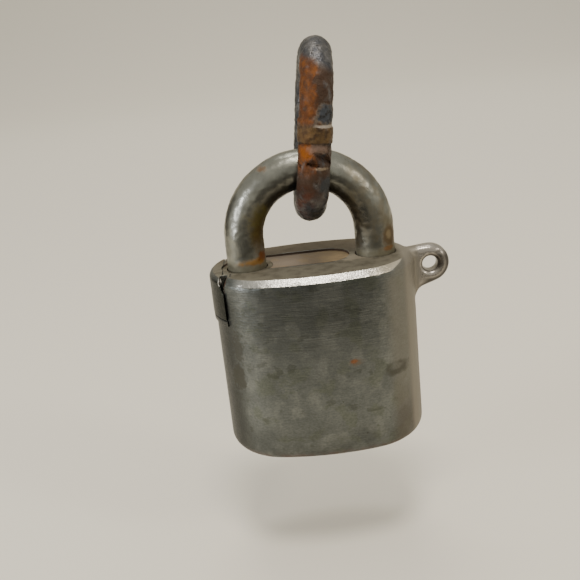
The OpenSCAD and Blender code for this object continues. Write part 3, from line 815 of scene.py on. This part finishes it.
def barTree():
    tree, given, position = startTree("dentedBar", (
        "Bar Radius", "Ring Spacing", "Wave Depth", "Wave Size", "Dent Depth", "Dent Size"), "Sides")
    path = addNode(tree, "GeometryNodeMeshToCurve", None, {"Mesh": given["Geometry"]})
    rings = addNode(tree, "GeometryNodeResampleCurve", None,
                    {"Curve": path.outputs[0], "Length": given["Ring Spacing"]}, mode="LENGTH")
    section = addNode(tree, "GeometryNodeCurvePrimitiveCircle", None,
                      {"Resolution": given["Sides"], "Radius": given["Bar Radius"]})
    swept = addNode(tree, "GeometryNodeCurveToMesh", {"Fill Caps": True},
                    {"Curve": rings.outputs[0], "Profile Curve": section.outputs[0]})
    # wear only takes metal away, so the bar never grows past its size
    sunk = unevenness(given, position, 3.0, (1.0, 4.0), lambda noise: rangeMask(noise, 0.62, 0.32))
    return endTree(given, swept.outputs[0], join("MULTIPLY", sunk, -1.0))


def sweepBar(name, points, closed, sizes, material, tree):
    count = len(points)
    edges = [(i, (i + 1) % count) for i in range(count if closed else count - 1)]
    return grow(meshPiece(name, points, edges, []), tree, sizes, material)


def halfTurn(centre, radius, start, steps, flat):    # points of a half circle, flat picks the plane
    points = []
    for i in range(steps + 1):
        a = start + math.pi * i / steps
        side, up = radius * math.cos(a), radius * math.sin(a)
        points.append(centre + (Vector((side, 0, up)) if flat == "XZ" else Vector((0, side, up))))
    return points


def ballCutter(centre, radius):
    shape = bmesh.new()
    bmesh.ops.create_uvsphere(shape, u_segments=48, v_segments=24, radius=radius,
                              matrix=Matrix.Translation(centre))
    return shapePiece("cutter", shape, False)


def ringCutter(centre, ringRadius, tubeRadius):      # cuts a round groove about +Z
    shape = bmesh.new()
    turns, sides = 64, 32
    rows = []
    for i in range(turns):
        a = 2 * math.pi * i / turns
        row = []
        for k in range(sides):
            b = 2 * math.pi * k / sides
            reach = ringRadius + tubeRadius * math.cos(b)
            row.append(shape.verts.new(centre + Vector((reach * math.cos(a), reach * math.sin(a),
                                                        tubeRadius * math.sin(b)))))
        rows.append(row)
    for i in range(turns):
        for k in range(sides):
            nextRow, nextSide = rows[(i + 1) % turns], (k + 1) % sides
            shape.faces.new((rows[i][k], nextRow[k], nextRow[nextSide], rows[i][nextSide]))
    return shapePiece("cutter", shape)


def wedgeCutter(place, size, roughness):             # a square bar set on its edge, to cut a V
    shape = bmesh.new()
    bmesh.ops.create_cube(shape, size=1.0, matrix=place @ Matrix.Diagonal((*size, 1)))
    bmesh.ops.subdivide_edges(shape, edges=shape.edges, cuts=3, use_grid_fill=True)
    for i, vert in enumerate(shape.verts):
        wobble = Vector((math.sin(i * 12.7), math.sin(i * 7.3 + 1), math.sin(i * 9.1 + 2)))
        vert.co += wobble * roughness
    return shapePiece("cutter", shape, False)


shackleSizes = {
    "toeDepth": 21 * mm,
    "lift": 22 * mm,
    "ballTravel": 2.2 * mm,
    "ballClearance": 0.1 * mm,
}


def makeShackle(material, tree):
    sizes = shackleSizes
    heelEnd = shackleLow.z
    toeEnd = topZ - sizes["toeDepth"]
    points = [Vector((legX, 0, toeEnd)), Vector((legX, 0, (toeEnd + archZ) / 2))]
    points += halfTurn(Vector((0, 0, archZ)), legX, 0, 90, "XZ")
    points += [Vector((-legX, 0, (heelEnd + archZ) / 2)), Vector((-legX, 0, heelEnd))]
    piece = sweepBar("shackleBar", points, False, barSizes["shackle"], material, tree)
    # the balls' seats in both legs, and the groove that lets the heel leg turn when it is lifted
    ball = (ballHigh + ballLow) / 2
    lockedX = ball.x + sizes["ballTravel"]
    seat = (ballHigh.x - ballLow.x) / 2 + sizes["ballClearance"]
    combine(piece, [
        ballCutter(Vector((lockedX, 0, ball.z)), seat),
        ballCutter(Vector((-lockedX, 0, ball.z)), seat),
        ringCutter(Vector((-legX, 0, ball.z - sizes["lift"])), legX - lockedX, seat),
    ], "DIFFERENCE")
    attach(piece, "shackle")
    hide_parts("shackle")
    return piece


# The link stands along its own axis, which leans from the arch's centre
linkFrame = {
    "lean": math.radians(7.3),
    "barRadius": 4.4 * mm,
    "bowRadius": 12.1 * mm,
    "straight": 16.2 * mm,
    "rest": legX - barRadius - 4.5 * mm,             # from the arch's centre up to the lower bow's
    "weldLow": 18.6 * mm,
    "weldHeight": 4.4 * mm,
    "weldProud": 0.34 * mm,
    "chiselZ": 15.5 * mm,
}
linkFrame["origin"] = Vector((0, 0, archZ)) + linkFrame["rest"] * Vector(
    (math.sin(linkFrame["lean"]), 0, math.cos(linkFrame["lean"])))
barSizes["link"]["Bar Radius"] = linkFrame["barRadius"]


def weldStep(mesh):
    # the weld's collar stands a third of a millimetre proud, and its upper edge dips to the right
    bow, low = linkFrame["bowRadius"], linkFrame["weldLow"]
    for vert in mesh.vertices:
        x, y, z = vert.co
        if y > -bow / 2:
            continue
        dip = 1.0 * mm * (1 - math.tanh((x + 0.4 * mm) / (1.4 * mm)))
        upper = low + linkFrame["weldHeight"] + dip
        rise = min(max((z - low) / (0.4 * mm), 0), 1) * min(max((upper - z) / (0.4 * mm), 0), 1)
        out = Vector((x, y + bow, 0))
        vert.co += out.normalized() * linkFrame["weldProud"] * rise


def makeLink(material, tree):
    bow, straight, radius = linkFrame["bowRadius"], linkFrame["straight"], linkFrame["barRadius"]
    points = halfTurn(Vector((0, 0, bow + straight)), bow, 0, 60, "YZ")
    points += halfTurn(Vector((0, 0, bow)), bow, math.pi, 60, "YZ")
    piece = sweepBar("chainLink", points, True, barSizes["link"], material, tree)
    weldStep(piece.data)
    edge = Matrix.Rotation(math.radians(45), 4, "X")
    cuts = [
        # the chisel's main bite, into the right of the bar
        (Vector((2.6 * mm, -bow - radius + 0.7 * mm, linkFrame["chiselZ"] - 0.3 * mm)), (0, 24, 38),
         (6.4, 2.5, 2.5)),
        # a shallow hollow that runs on from it to the left
        (Vector((-0.6 * mm, -bow - radius + 0.1 * mm, linkFrame["chiselZ"] - 2.2 * mm)), (0, 8, -6),
         (3.4, 1.5, 1.5)),
        # a nick on the left edge
        (Vector((-4.0 * mm, -bow - 1.4 * mm, linkFrame["chiselZ"] - 2.4 * mm)), (0, 10, -50),
         (2.4, 1.1, 1.1)),
    ]
    cutters = []
    for place, turn, size in cuts:
        turns = [Matrix.Rotation(math.radians(a), 4, axis) for a, axis in zip(turn, "XYZ")]
        spot = Matrix.Translation(place) @ turns[2] @ turns[1] @ turns[0] @ edge
        cutters.append(wedgeCutter(spot, tuple(s * mm for s in size), 0.07 * mm))
    combine(piece, cutters, "DIFFERENCE")
    stand = Matrix.Translation(linkFrame["origin"]) @ Matrix.Rotation(linkFrame["lean"], 4, "Y")
    piece.data.transform(stand)
    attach(piece, "shackle")
    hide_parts("chain_link")
    return piece


def setMaterial(nodeName, material):
    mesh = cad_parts[nodeName].data
    mesh.materials.clear()
    mesh.materials.append(material)


# Studio
studio = {
    "floorColour": "#e8e2d3",
    "floorReach": 6.0,
    "floorRise": 3.0,
    "sweepStart": 1.5,
    "floorDrop": 34 * mm,                            # the padlock hangs, so the floor lies below it
    "skyColour": "#dad7ce",
    "skyStrength": 0.86,
    "cardColour": "#45433f",                         # dark cards round the lock deepen the steel
    "cards": [
        # name, centre, and two half edges
        ("frontCard", (0, -0.5475, -0.032), (0.6, 0, 0), (0, 0.4025, 0)),
        ("leftCard", (-0.5, 0.34, 0.11), (0, 0.22, 0), (0, 0, 0.14)),
    ],
    "lights": [
        # name, place, size, watts, colour, target, spread
        ("overheadLight", (0.02, -0.26, 0.74), 0.22, 3.15, "#fff8ee", None, 180),
        ("leftWindow", (-0.62, -0.34, 0.20), 0.24, 2.35, "#f6f8ff", None, 180),
        ("rightFill", (0.60, -0.40, 0.45), 0.16, 1.3, "#fff4e6", None, 180),
        ("backdropLight", (0, 0.6, 1.7), 0.8, 14, "#fffaf2", (0, 2.0, 0), 150),
    ],
}


def mattPaper(name, tone):
    material = newMaterial(name)[0]
    return finishMaterial(material, linear(tone), 0.0, 0.95, [])


def makeStudio():
    # a wide floor that sweeps up far behind, so that no horizon shows
    wide, rise, start = studio["floorReach"], studio["floorRise"], studio["sweepStart"]
    profile = [(-wide, 0.0), (start, 0.0)]
    profile += [(start + rise * math.sin(a), rise * (1 - math.cos(a)))
                for a in (math.radians(5 * k) for k in range(1, 19))]
    points = [(x, y, z - studio["floorDrop"]) for y, z in profile for x in (-wide, wide)]
    floor = meshPiece("studioFloor", points, [], [(2 * k, 2 * k + 1, 2 * k + 3, 2 * k + 2)
                                                  for k in range(len(profile) - 1)])
    floor.data.shade_smooth()
    floor.data.materials.append(mattPaper("paleMattPaper", studio["floorColour"]))
    darkPaper = mattPaper("darkMattCard", studio["cardColour"])
    for name, *corner in studio["cards"]:
        middle, wide, deep = (Vector(v) for v in corner)
        card = meshPiece(name, [middle - wide - deep, middle + wide - deep, middle + wide + deep,
                                middle - wide + deep], [], [(0, 1, 2, 3)])
        card.data.materials.append(darkPaper)
        for ray in ("camera", "diffuse", "transmission", "shadow"):
            setattr(card, "visible_" + ray, False)   # only the steel's reflections see it
    world = bpy.data.worlds.new("softSky")
    bpy.context.scene.world = world
    world.use_nodes = True
    sky = world.node_tree.nodes["Background"]
    sky.inputs["Color"].default_value = linear(studio["skyColour"])
    sky.inputs["Strength"].default_value = studio["skyStrength"]
    aim = (cadLow + cadHigh) / 2
    for name, place, size, watts, colour, target, spread in studio["lights"]:
        lamp = bpy.data.lights.new(name, "AREA")
        lamp.shape = "DISK"
        lamp.size = size
        lamp.energy = watts
        lamp.color = linear(colour)[:3]
        lamp.spread = math.radians(spread)
        light = addPiece(name, lamp)
        light.location = place
        towards = Vector(target or aim) - Vector(place)
        light.rotation_euler = towards.to_track_quat("-Z", "Y").to_euler()


# Camera: a little above the lock, turned so that the hanging lock leans in the frame
cameraSet = {"place": (-7.926, -224.722, 120.033), "azimuth": -0.24, "elevation": 18.42,
             "roll": 6.23, "lens": 51.35}


def makeCamera():
    azimuth, elevation, roll = (math.radians(cameraSet[k]) for k in ("azimuth", "elevation", "roll"))
    back = Vector((math.sin(azimuth) * math.cos(elevation), -math.cos(azimuth) * math.cos(elevation),
                   math.sin(elevation)))
    level = (-back).cross(Vector((0, 0, 1))).normalized()
    upright = level.cross(-back)
    right = math.cos(roll) * level - math.sin(roll) * upright
    up = math.sin(roll) * level + math.cos(roll) * upright
    data = bpy.data.cameras.new("lockCamera")
    data.sensor_width = 36
    data.lens = cameraSet["lens"]
    data.clip_start = 0.005
    data.clip_end = 100
    camera = addPiece("lockCamera", data)
    camera.matrix_world = Matrix.Translation(Vector(cameraSet["place"]) * mm) @ Matrix(
        (right, up, back)).transposed().to_4x4()
    bpy.context.scene.camera = camera


print("studio and camera")
makeStudio()
makeCamera()

print("materials")
steelSkin = castSteel()
keeperSkin = castSteel(True)
brass = turnedMetal("agedBrass", "#b09456", "#7a6236", 0.34)
hiddenSteel = turnedMetal("turnedSteel", "#8f8e8a", "#66635d", 0.34)
springSteel = turnedMetal("springSteel", "#6c6c6e", "#4d4c4c", 0.3)

print("case and keeper")
skin = skinTree()
makeCase(steelSkin, skin)
makeKeeper(keeperSkin, skin)

print("shackle and link")
bars = barTree()
makeShackle(shackleSteel(), bars)
makeLink(linkSteel(), bars)

print("inner parts")
# the heel collar's steel is darkened partly by grime and partly as painted shade for its sunk seat
setMaterial("heel_collar", turnedMetal("grimyShadedCollarSteel", "#847e6e", "#5d5747", 0.5))
setMaterial("top_plug", stainedPlugSteel())
for nodeName in ("cylinder_shell", "cylinder_plug", "key_pins", "pin_spring_cover"):
    setMaterial(nodeName, brass)
for nodeName in ("lock_ball_left", "lock_ball_right", "lock_cam", "tailpiece", "driver_pins",
                 "retainer_bar", "retainer_screw"):
    setMaterial(nodeName, hiddenSteel)
for nodeName in ("shackle_spring", "pin_springs", "plug_clip"):
    setMaterial(nodeName, springSteel)
